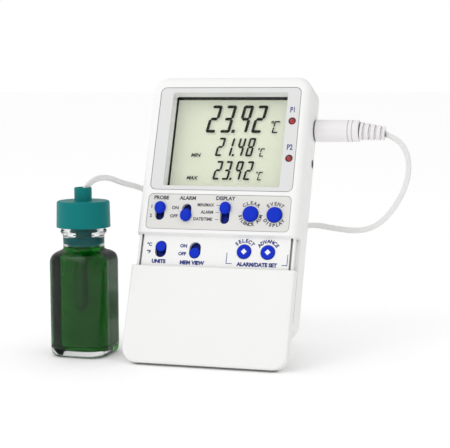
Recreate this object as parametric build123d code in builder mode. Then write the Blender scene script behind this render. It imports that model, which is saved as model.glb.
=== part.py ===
from build123d import *
import math
import os

os.makedirs("parts", exist_ok=True)

# Data-logging probe thermometer leaning on its back stand, with its probe in a bottle of glycol.
# Millimetres. The meter is built upright: X across, Y back from the face, Z up from the case's lower end.

# Case
CASE_W = 70.0
CASE_D = 19.0
CASE_H = 109.8
CORNER_R = 6.5
FRONT_EDGE_R = 3.0
BACK_EDGE_R = 3.5
PARTING = 9.5
WALL = 1.8
FACE_WALL = 2.0
REAR_INNER = 17.2
PANEL_DROP = 2.2
RIDGE_LOW = 39.4
RIDGE_HIGH = 40.2
LOWER_HALF_W = 33.75
REBATE_D = 5.4
LOWER_CAVITY_HALF_W = 31.0

# Sliding door
DOOR_TRAVEL = 13.0
DOOR_END = -14.7
DOOR_TOP = 26.2
DOOR_HALF_W = 35.1
DOOR_T = 1.4
DOOR_SIDE_T = 1.1
DOOR_DEPTH = 5.0
DOOR_END_T = 1.6
DOOR_EDGE_R = 0.8
RIB_X = 32.25

# Lean and rest position on the table
LEAN = 21.34
SIN = math.sin(math.radians(LEAN))
COS = math.cos(math.radians(LEAN))
LIFT = DOOR_DEPTH * SIN - DOOR_EDGE_R * (COS + SIN - 1)

# Stand
HINGE_Y = 17.0
HINGE_Z = 28.6
LEG_L = 51.6
LEG_HALF_W = 12.5
LEG_T = 2.4
KNUCKLE_R = 1.9
PIN_R = 0.8

# Jacks on the right-hand side
JACK_Y = 14.0
JACK_P1_Z = 90.2
JACK_P2_Z = 75.4
JACK_BORE_R = 1.8
PLUG_PIN_R = 1.75

# Display
WINDOW_HALF_W = 25.3
WINDOW_LOW = 60.8
WINDOW_HIGH = 102.2
RIM_D = 5.3
LEDS = [("led_p1", 28.1, 89.7), ("led_p2", 28.2, 73.4)]

# Slide switches: name, x, well low, well high, well width, knob height, knob rests at top, lower panel
SWITCHES = [
    ("probe_knob", -25.3, 45.6, 53.4, 4.0, 4.6, True, False),
    ("alarm_knob", -13.65, 45.4, 52.9, 4.1, 4.6, False, False),
    ("display_knob", 3.2, 44.6, 53.8, 4.0, 4.6, True, False),
    ("units_knob", -23.8, 30.1, 37.1, 4.9, 4.4, True, True),
    ("memory_knob", -8.8, 30.0, 37.0, 4.9, 4.4, False, True),
]
# Push buttons: name, x, z, radius, lower panel
BUTTONS = [
    ("clear_button", 14.2, 49.1, 3.3, False),
    ("event_button", 24.4, 49.0, 3.25, False),
    ("select_button", 12.4, 33.6, 3.0, True),
    ("advance_button", 22.5, 33.6, 3.0, True),
]
BUTTON_TRAVEL = 0.6

# Fixings: case screws, main board screws, key board screws
CASE_SCREWS = [(-30.2, 6.0), (30.2, 6.0), (-30.0, 104.6), (30.0, 104.6)]
MAIN_SCREWS = [(-30.6, 97.0), (30.6, 97.0), (-30.6, 63.0), (30.6, 63.0)]
KEY_SCREWS = [(-29.0, 38.5), (29.0, 38.5)]
KEY_BOARD_Y = 9.0
MAIN_BOARD_Y = 10.8
BOARD_T = 1.2

# Batteries
CELL_R = 5.15
CELL_Y = 12.0
CELL_ZS = [8.2, 18.9]

# Bottle, upright on the table; its axis is given in the table frame
BOTTLE_X = -58.0
BOTTLE_Y = 18.4
BOTTLE_SIDE = 25.4
BOTTLE_R = 7.0

# Cord
CORD_R = 1.1
COIL_X = -20.0
COIL_Y = 112.0
COIL_IN = 10.0
COIL_OUT = 20.5
COIL_LOW = 0.65
COIL_HIGH = 10.6


def face(depth):
    return Plane((0, depth, 0), x_dir=(1, 0, 0), z_dir=(0, -1, 0))


def switch_shape(low, high, knob_h, top):
    travel = high - low - 0.4 - knob_h
    if top:
        centre = high - 0.2 - knob_h / 2
        plate_low = low - 0.3
        plate_high = high + travel + 0.3
    else:
        centre = low + 0.2 + knob_h / 2
        plate_low = low - travel - 0.3
        plate_high = high + 0.3
    return travel, centre, plate_low, plate_high


# Front half of the case
with BuildPart() as front_case:
    with BuildSketch(face(0)):
        with Locations((0, CASE_H / 2)):
            RectangleRounded(CASE_W, CASE_H, CORNER_R)
    extrude(amount=-PARTING)
    fillet(front_case.edges().filter_by_position(Axis.Y, -0.01, 0.01), FRONT_EDGE_R)
    # stepped lower panel with a sloped riser
    with BuildSketch(Plane.YZ):
        with BuildLine():
            Polyline(
                (-1, -1),
                (PANEL_DROP, -1),
                (PANEL_DROP, RIDGE_LOW),
                (0, RIDGE_HIGH),
                (-1, RIDGE_HIGH + 0.36),
                close=True,
            )
        make_face()
    extrude(amount=CASE_W, both=True, mode=Mode.SUBTRACT)
    # side rebate that the door's side walls run in
    with BuildSketch(face(REBATE_D)):
        with Locations((0, 18.9)):
            Rectangle(80, 42)
        with Locations((0, 40)):
            RectangleRounded(2 * LOWER_HALF_W, 80, 5.25, mode=Mode.SUBTRACT)
    extrude(amount=REBATE_D + 2, mode=Mode.SUBTRACT)
    # cavities
    with BuildSketch(face(FACE_WALL)):
        with Locations((0, 75.0)):
            RectangleRounded(CASE_W - 3.6, 66.0, 4.7)
    extrude(amount=-(PARTING - FACE_WALL), mode=Mode.SUBTRACT)
    with BuildSketch(face(PANEL_DROP + WALL)):
        with Locations((0, 26.9)):
            Rectangle(2 * LOWER_CAVITY_HALF_W, 50.2)
    extrude(amount=-(PARTING - PANEL_DROP - WALL), mode=Mode.SUBTRACT)
    # ridge wall left between the two cavity depths
    with BuildSketch(face(FACE_WALL)):
        with Locations((0, 41.1)):
            Rectangle(2 * LOWER_CAVITY_HALF_W, 1.8)
    extrude(amount=-WALL)
    # pocket in the ridge wall that the display switch's plate slides into
    with BuildSketch(face(4.1)):
        with Locations((3.2, 41.1)):
            Rectangle(7.4, 2.5)
    extrude(amount=2.05, mode=Mode.SUBTRACT)
    # rim round the display window
    with BuildSketch(face(FACE_WALL)):
        with Locations((0, (WINDOW_LOW + WINDOW_HIGH) / 2)):
            Rectangle(2 * WINDOW_HALF_W + 2.2, WINDOW_HIGH - WINDOW_LOW + 2.2)
    extrude(amount=-(RIM_D - FACE_WALL))
    # screw bosses and board pillars
    with BuildSketch(face(PARTING)):
        with Locations(*CASE_SCREWS[:2]):
            Circle(2.5)
    extrude(amount=PARTING - PANEL_DROP - WALL)
    with BuildSketch(face(PARTING)):
        with Locations(*CASE_SCREWS[2:]):
            Circle(2.9)
    extrude(amount=PARTING - FACE_WALL)
    with BuildSketch(face(MAIN_BOARD_Y)):
        with Locations(*MAIN_SCREWS):
            Circle(1.8)
    extrude(amount=MAIN_BOARD_Y - FACE_WALL)
    with BuildSketch(face(KEY_BOARD_Y)):
        with Locations(*KEY_SCREWS):
            Circle(1.6)
    extrude(amount=KEY_BOARD_Y - PANEL_DROP - WALL)
    # pilot holes
    with BuildSketch(face(PARTING)):
        with Locations(*CASE_SCREWS):
            Circle(1.02)
    extrude(amount=4.9, mode=Mode.SUBTRACT)
    with BuildSketch(face(MAIN_BOARD_Y)):
        with Locations(*MAIN_SCREWS):
            Circle(0.82)
    extrude(amount=4.5, mode=Mode.SUBTRACT)
    with BuildSketch(face(KEY_BOARD_Y)):
        with Locations(*KEY_SCREWS):
            Circle(0.82)
    extrude(amount=3.6, mode=Mode.SUBTRACT)
    # recesses for the bezel and the control overlay
    with BuildSketch(face(0.5)):
        with Locations((0, 81.75)):
            RectangleRounded(62.0, 45.7, 2.5)
    extrude(amount=1.5, mode=Mode.SUBTRACT)
    with BuildSketch(face(0.35)):
        with Locations((0, 49.45)):
            RectangleRounded(62.0, 15.3, 2.0)
    extrude(amount=1.35, mode=Mode.SUBTRACT)
    # display window, lamp holes, switch wells and button holes
    with BuildSketch(face(7.0)):
        with Locations((0, (WINDOW_LOW + WINDOW_HIGH) / 2)):
            RectangleRounded(2 * WINDOW_HALF_W, WINDOW_HIGH - WINDOW_LOW, 0.8)
    extrude(amount=8.0, mode=Mode.SUBTRACT)
    with BuildSketch(face(4.5)):
        with Locations(*[(x, z) for name, x, z in LEDS]):
            Circle(1.6)
        for name, x, low, high, width, knob_h, top, lower in SWITCHES:
            with Locations((x, (low + high) / 2)):
                SlotOverall(high - low, width, rotation=90)
        for name, x, z, r, lower in BUTTONS:
            with Locations((x, z)):
                Circle(r + 0.12)
    extrude(amount=5.5, mode=Mode.SUBTRACT)
    # door rib slots and side grooves
    with BuildSketch(face(PANEL_DROP + 1.4)):
        with Locations((-RIB_X, 19.45), (RIB_X, 19.45)):
            Rectangle(0.9, 40.9)
    extrude(amount=2.0, mode=Mode.SUBTRACT)
    with BuildSketch(face(5.2)):
        with Locations((-33.95, 19.45), (33.95, 19.45)):
            Rectangle(1.6, 40.9)
    extrude(amount=1.4, mode=Mode.SUBTRACT)
front_case.part.label = "front_case"

# Rear half of the case
with BuildPart() as rear_case:
    with BuildSketch(face(PARTING)):
        with Locations((0, CASE_H / 2)):
            RectangleRounded(CASE_W, CASE_H, CORNER_R)
    extrude(amount=-(CASE_D - PARTING))
    fillet(rear_case.edges().filter_by_position(Axis.Y, CASE_D - 0.01, CASE_D + 0.01), BACK_EDGE_R)
    with BuildSketch(face(PARTING)):
        with Locations((0, CASE_H / 2)):
            RectangleRounded(CASE_W - 2 * WALL, CASE_H - 2 * WALL, 4.7)
    extrude(amount=-(REAR_INNER - PARTING), mode=Mode.SUBTRACT)
    # battery tray
    with BuildSketch(face(5.3)):
        with Locations((0, 13.6)):
            Rectangle(54.0, 23.6)
    extrude(amount=-10.3)
    with BuildSketch(face(6.5)):
        with Locations((0, 13.1)):
            Rectangle(51.8, 22.6)
    extrude(amount=-10.0, mode=Mode.SUBTRACT)
    # inner wall round the stand's recess and its hinge
    with BuildSketch(face(14.1)):
        with Locations((0, 53.8)):
            Rectangle(32.8, 58.4)
    extrude(amount=-(REAR_INNER - 14.1))
    with BuildSketch(face(13.0)):
        with Locations((0, 29.0)):
            Rectangle(32.8, 8.0)
    extrude(amount=-(REAR_INNER - 13.0))
    # screw bosses
    with BuildSketch(face(PARTING)):
        with Locations(*CASE_SCREWS[:2]):
            Circle(2.5)
        with Locations(*CASE_SCREWS[2:]):
            Circle(2.9)
    extrude(amount=-(REAR_INNER - PARTING + 0.4))
    with BuildSketch(face(PARTING)):
        with Locations(*CASE_SCREWS):
            Circle(1.2)
    extrude(amount=-CASE_D, mode=Mode.SUBTRACT)
    with BuildSketch(face(16.2)):
        with Locations(*CASE_SCREWS):
            Circle(1.9)
    extrude(amount=-CASE_D, mode=Mode.SUBTRACT)
    # stand recess, hinge pocket, finger notch
    with BuildSketch(face(15.6)):
        with Locations((0, 54.1)):
            Rectangle(26.8, 55.8)
        with Locations((0, 84.0)):
            SlotOverall(12.0, 6.0)
    extrude(amount=-5.0, mode=Mode.SUBTRACT)
    with BuildSketch(face(14.7)):
        with Locations((0, 28.7)):
            Rectangle(26.8, 5.0)
    extrude(amount=-5.0, mode=Mode.SUBTRACT)
    with BuildSketch(Plane((-15.4, HINGE_Y, HINGE_Z), x_dir=(0, 1, 0), z_dir=(1, 0, 0))):
        Circle(PIN_R + 0.02)
    extrude(amount=30.8, mode=Mode.SUBTRACT)
    # battery cover opening, right through the lower end
    with BuildSketch(face(REAR_INNER - 1.6)):
        with Locations((0, 13.1)):
            Rectangle(51.6, 22.6)
    extrude(amount=-5.0, mode=Mode.SUBTRACT)
    with BuildSketch(face(17.25)):
        with Locations((0, 11.7)):
            Rectangle(54.0, 25.4)
    extrude(amount=-5.0, mode=Mode.SUBTRACT)
    with BuildSketch(face(15.7)):
        with Locations((0, 13.2)):
            Rectangle(56.3, 22.8)
    extrude(amount=-(17.25 - 15.7), mode=Mode.SUBTRACT)
    # jack holes, the free one with a lip in front of the jack's nose
    for jack_z, depth in ((JACK_P1_Z, 8.0), (JACK_P2_Z, 4.65)):
        with BuildSketch(Plane((30.0, JACK_Y, jack_z), x_dir=(0, 1, 0), z_dir=(1, 0, 0))):
            Circle(2.7)
        extrude(amount=depth, mode=Mode.SUBTRACT)
    with BuildSketch(Plane((34.0, JACK_Y, JACK_P2_Z), x_dir=(0, 1, 0), z_dir=(1, 0, 0))):
        Circle(1.9)
    extrude(amount=3.0, mode=Mode.SUBTRACT)
rear_case.part.label = "rear_case"

# Battery cover: a plate flush with the back, held by side flanges under the wall
with BuildPart() as battery_cover:
    with BuildSketch(face(17.4)):
        with Locations((0, CASE_H / 2)):
            RectangleRounded(CASE_W, CASE_H, CORNER_R)
    extrude(amount=-(CASE_D - 17.4))
    fillet(
        battery_cover.edges().filter_by_position(Axis.Y, CASE_D - 0.01, CASE_D + 0.01), BACK_EDGE_R / 2.5
    )
    with BuildSketch(face(16.0)):
        with Locations((0, 12.1)):
            Rectangle(53.7, 24.3)
    extrude(amount=-6.0, mode=Mode.INTERSECT)
    with BuildSketch(face(15.95)):
        with Locations((-26.2, 15.9), (26.2, 15.9)):
            Rectangle(3.4, 14.6)
    extrude(amount=-1.15)
    with BuildSketch(face(17.0)):
        with Locations((-25.6, 15.9), (25.6, 15.9)):
            Rectangle(2.2, 14.6)
    extrude(amount=-0.5)
    # thumb grip
    for grip_z in (8.6, 10.4, 12.2):
        with BuildSketch(face(18.6)):
            with Locations((0, grip_z)):
                SlotOverall(14.0, 0.9)
        extrude(amount=-2.0, mode=Mode.SUBTRACT)
battery_cover.part.label = "battery_cover"

# Bezel and control overlay
with BuildPart() as display_bezel:
    with BuildSketch(face(0.05)):
        with Locations((0, 81.75)):
            RectangleRounded(61.6, 45.3, 2.3)
        with Locations((0, (WINDOW_LOW + WINDOW_HIGH) / 2)):
            RectangleRounded(2 * WINDOW_HALF_W, WINDOW_HIGH - WINDOW_LOW, 0.8, mode=Mode.SUBTRACT)
        with Locations(*[(x, z) for name, x, z in LEDS]):
            Circle(1.6, mode=Mode.SUBTRACT)
    extrude(amount=-0.45)
display_bezel.part.label = "display_bezel"

with BuildPart() as control_panel:
    with BuildSketch(face(0.05)):
        with Locations((0, 49.45)):
            RectangleRounded(61.7, 15.0, 1.9)
        for name, x, low, high, width, knob_h, top, lower in SWITCHES:
            if not lower:
                with Locations((x, (low + high) / 2)):
                    SlotOverall(high - low, width, rotation=90, mode=Mode.SUBTRACT)
        for name, x, z, r, lower in BUTTONS:
            if not lower:
                with Locations((x, z)):
                    Circle(r + 0.12, mode=Mode.SUBTRACT)
    extrude(amount=-0.3)
control_panel.part.label = "control_panel"

# Display stack
with BuildPart() as display_window:
    with BuildSketch(face(RIM_D + 0.02)):
        with Locations((0, 81.5)):
            Rectangle(52.4, 43.0)
    extrude(amount=-0.8)
display_window.part.label = "display_window"

with BuildPart() as lcd_gasket:
    with BuildSketch(face(RIM_D + 0.84)):
        with Locations((0, 81.5)):
            Rectangle(52.6, 44.0)
            Rectangle(51.0, 41.8, mode=Mode.SUBTRACT)
    extrude(amount=-(7.55 - RIM_D - 0.84))
lcd_gasket.part.label = "lcd_gasket"

with BuildPart() as lcd_glass:
    with BuildSketch(face(7.6)):
        with Locations((0, 81.5)):
            Rectangle(52.8, 44.2)
    extrude(amount=-1.65)
lcd_glass.part.label = "lcd_glass"

with BuildPart() as lcd_reflector:
    with BuildSketch(face(9.3)):
        with Locations((0, 81.5)):
            Rectangle(51.6, 41.5)
    extrude(amount=-0.2)
lcd_reflector.part.label = "lcd_reflector"

with BuildPart() as zebra_strips:
    with BuildSketch(face(9.3)):
        with Locations((0, 60.0), (0, 103.0)):
            Rectangle(48.0, 1.1)
    extrude(amount=-1.45)
zebra_strips.part.label = "zebra_strips"

# Boards
with BuildPart() as main_board:
    with BuildSketch(face(MAIN_BOARD_Y)):
        with Locations((0, 75.25)):
            Rectangle(64.8, 50.5)
        with Locations((0, 102.0)):
            Rectangle(53.6, 4.0)
        with Locations(*MAIN_SCREWS):
            Circle(0.95, mode=Mode.SUBTRACT)
    extrude(amount=-BOARD_T)
main_board.part.label = "main_board"

with BuildPart() as key_board:
    with BuildSketch(face(KEY_BOARD_Y)):
        with Locations((0, 41.0)):
            Rectangle(61.0, 29.0)
        with Locations(*KEY_SCREWS):
            Circle(0.95, mode=Mode.SUBTRACT)
    extrude(amount=-BOARD_T)
key_board.part.label = "key_board"

with BuildPart() as board_header:
    with BuildSketch(face(KEY_BOARD_Y + BOARD_T)):
        with Locations((0, 52.6)):
            Rectangle(26.0, 2.6)
    extrude(amount=-(MAIN_BOARD_Y - KEY_BOARD_Y - BOARD_T))
board_header.part.label = "board_header"

with BuildPart() as controller_chip:
    with BuildSketch(face(MAIN_BOARD_Y + BOARD_T)):
        with Locations((0, 66.0)):
            Circle(6.0)
    extrude(amount=-1.4)
    fillet(controller_chip.edges().filter_by_position(Axis.Y, 13.3, 13.5), 1.1)
controller_chip.part.label = "controller_chip"

with BuildPart() as memory_chip:
    with BuildSketch(face(MAIN_BOARD_Y + BOARD_T)):
        with Locations((-22.5, 74.0)):
            Rectangle(5.2, 5.0)
    extrude(amount=-1.6)
memory_chip.part.label = "memory_chip"

with BuildPart() as crystal:
    with BuildSketch(Plane((-27.0, 13.6, 82.6), x_dir=(0, 1, 0), z_dir=(1, 0, 0))):
        Circle(1.55)
    extrude(amount=8.2)
crystal.part.label = "crystal"

with BuildPart() as buzzer:
    with BuildSketch(face(MAIN_BOARD_Y + BOARD_T)):
        with Locations((-23.4, 92.0)):
            Circle(6.0)
    extrude(amount=-4.8)
    with BuildSketch(face(16.2)):
        with Locations((-23.4, 92.0)):
            Circle(1.2)
    extrude(amount=-1.0, mode=Mode.SUBTRACT)
buzzer.part.label = "buzzer"


def make_led(x, z):
    with BuildPart() as lens:
        with BuildSketch(face(1.0)):
            with Locations((x, z)):
                Circle(1.45)
        extrude(amount=-3.8)
        with Locations((x, 1.0, z)):
            Sphere(1.45)
    return lens


with BuildPart() as led_leads:
    with BuildSketch(face(4.85)):
        for name, x, z in LEDS:
            with Locations((x, z - 0.9), (x, z + 0.9)):
                Rectangle(0.45, 0.45)
    extrude(amount=-(MAIN_BOARD_Y - 4.85))
led_leads.part.label = "led_leads"


# Jack: a block on the back of the main board with a nose in the case's side hole
def make_jack(z):
    with BuildPart() as jack:
        with BuildSketch(Plane((19.0, JACK_Y, z), x_dir=(0, 1, 0), z_dir=(1, 0, 0))):
            with Locations((0.3, 0)):
                Rectangle(4.6, 6.4)
        extrude(amount=14.0)
        with BuildSketch(Plane((33.0, JACK_Y, z), x_dir=(0, 1, 0), z_dir=(1, 0, 0))):
            Circle(2.6)
        extrude(amount=1.6)
        with BuildSketch(Plane((20.4, JACK_Y, z), x_dir=(0, 1, 0), z_dir=(1, 0, 0))):
            Circle(JACK_BORE_R)
        extrude(amount=16.0, mode=Mode.SUBTRACT)
    return jack


# Screws
with BuildPart() as case_screws:
    with BuildSketch(face(16.2)):
        with Locations(*CASE_SCREWS):
            Circle(1.75)
    extrude(amount=-1.4)
    with BuildSketch(face(16.2)):
        with Locations(*CASE_SCREWS):
            Circle(1.0)
    extrude(amount=11.0)
    with BuildSketch(face(16.9)):
        with Locations(*CASE_SCREWS):
            Rectangle(2.2, 0.5)
            Rectangle(0.5, 2.2)
    extrude(amount=-2.0, mode=Mode.SUBTRACT)
case_screws.part.label = "case_screws"

with BuildPart() as board_screws:
    for board_y, places, shank in ((MAIN_BOARD_Y, MAIN_SCREWS, 5.2), (KEY_BOARD_Y, KEY_SCREWS, 4.4)):
        with BuildSketch(face(board_y + BOARD_T)):
            with Locations(*places):
                Circle(1.5)
        extrude(amount=-1.0)
        with BuildSketch(face(board_y + BOARD_T)):
            with Locations(*places):
                Circle(0.8)
        extrude(amount=shank)
board_screws.part.label = "board_screws"

# Slide switch bodies and tact switches on the key board
with BuildPart() as switch_bodies:
    for name, x, low, high, width, knob_h, top, lower in SWITCHES:
        travel, centre, plate_low, plate_high = switch_shape(low, high, knob_h, top)
        body_front = 6.2 if lower else 4.4
        with BuildSketch(face(body_front)):
            with Locations((x, (low + high) / 2)):
                Rectangle(4.2, 9.0)
        extrude(amount=-(KEY_BOARD_Y - body_front))
        with BuildSketch(face(body_front + 1.6)):
            with Locations((x, (low + high) / 2)):
                Rectangle(1.9, travel + 1.9)
        extrude(amount=3.0, mode=Mode.SUBTRACT)
switch_bodies.part.label = "switch_bodies"

with BuildPart() as tact_switches:
    with BuildSketch(face(6.4)):
        with Locations(*[(x, z) for name, x, z, r, lower in BUTTONS]):
            Rectangle(6.0, 6.0)
            Circle(1.7, mode=Mode.SUBTRACT)
    extrude(amount=-2.0)
    with BuildSketch(face(8.4)):
        with Locations(*[(x, z) for name, x, z, r, lower in BUTTONS]):
            Rectangle(6.0, 6.0)
    extrude(amount=-(KEY_BOARD_Y - 8.4))
tact_switches.part.label = "tact_switches"


# Knob: an oval cap through the well, a cover plate behind the wall, a stem in the switch
def make_knob(x, low, high, width, knob_h, top, lower):
    travel, centre, plate_low, plate_high = switch_shape(low, high, knob_h, top)
    plate_y = 4.2 if lower else 2.2
    crown_y = 1.75 if lower else -1.8
    edge_r = 0.35 if lower else 1.1
    with BuildPart() as knob:
        with BuildSketch(face(plate_y)):
            with Locations((x, centre)):
                SlotOverall(knob_h, width - 0.5, rotation=90)
        extrude(amount=plate_y - crown_y)
        if not lower:
            with BuildSketch(face(-0.1)):
                with Locations((x, centre)):
                    SlotOverall(knob_h + 0.7, width + 0.7, rotation=90)
            extrude(amount=-0.1 - crown_y)
        fillet(knob.edges().filter_by_position(Axis.Y, crown_y - 0.01, crown_y + 0.01), edge_r)
        with BuildSketch(face(plate_y)):
            with Locations((x, (plate_low + plate_high) / 2)):
                Rectangle(6.6, plate_high - plate_low)
        extrude(amount=-1.0)
        with BuildSketch(face(plate_y + 1.0)):
            with Locations((x, centre)):
                Rectangle(1.7, 1.7)
        extrude(amount=-2.3)
    return knob


# Button: cap, retaining flange behind the wall, plunger in the tact switch
def make_button(x, z, r, lower):
    flange_y = 4.2 if lower else 2.2
    crown_y = 1.75 if lower else -1.4
    edge_r = 0.35 if lower else 0.9
    with BuildPart() as button:
        with BuildSketch(face(flange_y)):
            with Locations((x, z)):
                Circle(r)
        extrude(amount=flange_y - crown_y)
        fillet(button.edges().filter_by_position(Axis.Y, crown_y - 0.01, crown_y + 0.01), edge_r)
        with BuildSketch(face(flange_y)):
            with Locations((x, z)):
                Circle(r + 0.9)
        extrude(amount=-0.8)
        with BuildSketch(face(flange_y + 0.8)):
            with Locations((x, z)):
                Circle(1.63)
        extrude(amount=-(7.5 - flange_y - 0.8))
    return button


# Batteries, one each way round
def make_cell(z, flip):
    side = -1 if flip else 1
    with BuildPart() as cell:
        with BuildSketch(Plane((-21.0 * side, CELL_Y, z), x_dir=(0, 1, 0), z_dir=(side, 0, 0))):
            Circle(CELL_R)
        extrude(amount=43.2)
        fillet(cell.edges().filter_by(GeomType.CIRCLE), 0.5)
        with BuildSketch(Plane((22.2 * side, CELL_Y, z), x_dir=(0, 1, 0), z_dir=(side, 0, 0))):
            Circle(1.8)
        extrude(amount=1.0)
    return cell


# Contact plates at each end, with a coil spring at each negative end
with BuildPart() as battery_contacts:
    for side in (-1, 1):
        with BuildSketch(Plane((side * 25.6, CELL_Y, 13.55), x_dir=(0, 1, 0), z_dir=(1, 0, 0))):
            Rectangle(6.6, 20.0)
        extrude(amount=0.2, both=True)
battery_contacts.part.label = "battery_contacts"

with BuildPart() as contact_springs:
    for side, z in ((-1, CELL_ZS[0]), (1, CELL_ZS[1])):
        with BuildLine() as wire:
            Helix(pitch=1.1, height=3.3, radius=2.6, center=(side * 25.0, CELL_Y, z), direction=(-side, 0, 0))
        coil = wire.wire()
        with BuildSketch(Plane(origin=coil @ 0, z_dir=coil % 0)):
            Circle(0.25)
        sweep(path=coil)
contact_springs.part.label = "contact_springs"

# Sliding door, drawn fully down
with BuildPart() as sliding_door:
    with BuildSketch(face(0)):
        with BuildLine():
            Polyline(
                (-DOOR_HALF_W, DOOR_END),
                (DOOR_HALF_W, DOOR_END),
                (DOOR_HALF_W, DOOR_TOP),
                (-DOOR_HALF_W, DOOR_TOP),
                close=True,
            )
        make_face()
    extrude(amount=-DOOR_DEPTH)
    fillet(sliding_door.edges().filter_by(Axis.Y).group_by(Axis.Z)[0], CORNER_R)
    outer_edges = sliding_door.edges().filter_by_position(Axis.Y, -0.01, 0.01)
    fillet(outer_edges, DOOR_EDGE_R)
    back_end_edges = sliding_door.edges().filter_by_position(Axis.Y, DOOR_DEPTH - 0.01, DOOR_DEPTH + 0.01)
    fillet([e for e in back_end_edges if e.center().Z < DOOR_END + 0.1], DOOR_EDGE_R * 0.99)
    inner_low = DOOR_END + DOOR_END_T
    with BuildSketch(face(DOOR_T)):
        with Locations((0, inner_low + 40)):
            RectangleRounded(2 * (DOOR_HALF_W - DOOR_SIDE_T), 80, CORNER_R - DOOR_SIDE_T)
    extrude(amount=-10, mode=Mode.SUBTRACT)
    # lips in the case's side grooves
    with BuildSketch(face(4.0)):
        with Locations((-33.75, 9.6), (33.75, 9.6)):
            Rectangle(0.7, 33.0)
    extrude(amount=-1.0)
    # ribs in the panel's slots
    with BuildSketch(face(DOOR_T)):
        with Locations((-RIB_X, 7.1), (RIB_X, 7.1)):
            Rectangle(0.7, 38.0)
    extrude(amount=-1.8)
sliding_door.part.label = "sliding_door"

# Stand, drawn folded with its hinge on the origin, and its pin
with BuildPart() as kickstand:
    with BuildSketch(Plane((-LEG_HALF_W, 0, 0), x_dir=(0, 1, 0), z_dir=(1, 0, 0))):
        with Locations((0, LEG_L / 2)):
            Rectangle(LEG_T, LEG_L)
        with Locations((0, LEG_L)):
            Circle(LEG_T / 2)
    extrude(amount=2 * LEG_HALF_W)
    with BuildSketch(Plane((-13.1, 0, 0), x_dir=(0, 1, 0), z_dir=(1, 0, 0))):
        Circle(KNUCKLE_R)
    extrude(amount=26.2)
    with BuildSketch(Plane((-14, 0, 0), x_dir=(0, 1, 0), z_dir=(1, 0, 0))):
        Circle(PIN_R + 0.05)
    extrude(amount=28, mode=Mode.SUBTRACT)
    # weight-saving window across the leg
    with BuildSketch(face(-2.0)):
        with Locations((0, 27.0)):
            RectangleRounded(13.0, 30.0, 2.5)
    extrude(amount=-1.9, mode=Mode.SUBTRACT)
kickstand.part.label = "kickstand"

with BuildPart() as stand_pin:
    with BuildSketch(Plane((-15.2, HINGE_Y, HINGE_Z), x_dir=(0, 1, 0), z_dir=(1, 0, 0))):
        Circle(PIN_R)
    extrude(amount=30.4)
stand_pin.part.label = "stand_pin"

# Plug on the P1 jack's axis
PLUG_X = 35.35
PLUG_END = 54.1
RELIEF_L = 10.3
RELIEF_DROOP = 5.0
with BuildPart() as plug_body:
    with BuildSketch(Plane((PLUG_X, JACK_Y, JACK_P1_Z), x_dir=(0, 1, 0), z_dir=(1, 0, 0))):
        Circle(4.75)
    with BuildSketch(Plane((PLUG_END, JACK_Y, JACK_P1_Z), x_dir=(0, 1, 0), z_dir=(1, 0, 0))):
        Circle(4.6)
    loft()
    fillet(plug_body.edges().filter_by(GeomType.CIRCLE), 0.6)
    for ring_x in (49.4, 51.2):
        with BuildSketch(Plane((ring_x, JACK_Y, JACK_P1_Z), x_dir=(0, 1, 0), z_dir=(1, 0, 0))):
            Circle(6.0)
            Circle(4.4, mode=Mode.SUBTRACT)
        extrude(amount=0.35, mode=Mode.SUBTRACT)
plug_body.part.label = "plug_body"

with BuildPart() as plug_pin:
    with BuildSketch(Plane.XY.offset(JACK_P1_Z)):
        with BuildLine():
            Polyline(
                (PLUG_X - 14.0, JACK_Y),
                (PLUG_X - 14.0, JACK_Y + 0.7),
                (PLUG_X - 12.6, JACK_Y + PLUG_PIN_R - 0.05),
                (PLUG_X - 11.7, JACK_Y + PLUG_PIN_R - 0.05),
                (PLUG_X - 11.0, JACK_Y + 1.3),
                (PLUG_X - 10.2, JACK_Y + PLUG_PIN_R),
                (PLUG_X - 9.6, JACK_Y + PLUG_PIN_R),
                (PLUG_X - 9.6, JACK_Y + 1.2),
                (PLUG_X - 8.9, JACK_Y + 1.2),
                (PLUG_X - 8.9, JACK_Y + PLUG_PIN_R),
                (PLUG_X, JACK_Y + PLUG_PIN_R),
                (PLUG_X, JACK_Y),
                close=True,
            )
        make_face()
    revolve(axis=Axis((0, JACK_Y, JACK_P1_Z), (1, 0, 0)))
plug_pin.part.label = "plug_pin"

with BuildPart() as plug_insulator:
    with BuildSketch(Plane((PLUG_X - 9.6, JACK_Y, JACK_P1_Z), x_dir=(0, 1, 0), z_dir=(1, 0, 0))):
        Circle(PLUG_PIN_R)
        Circle(1.2, mode=Mode.SUBTRACT)
    extrude(amount=0.7)
plug_insulator.part.label = "plug_insulator"

# Ribbed strain relief, drawn along X from the origin
with BuildPart() as strain_relief:
    with BuildSketch(Plane.XZ):
        with BuildLine():
            Polyline((0, 0), (0, 3.9), (RELIEF_L, 2.9), (RELIEF_L, 0), close=True)
        make_face()
        for groove in range(4):
            with Locations((1.6 + 2.5 * groove, 4.1 - 0.24 * groove)):
                Rectangle(1.0, 2.0, mode=Mode.SUBTRACT)
    revolve(axis=Axis.X)
    with BuildSketch(Plane.YZ.offset(3.0)):
        Circle(CORD_R + 0.05)
    extrude(amount=RELIEF_L, mode=Mode.SUBTRACT)
strain_relief.part.label = "strain_relief"

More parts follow.
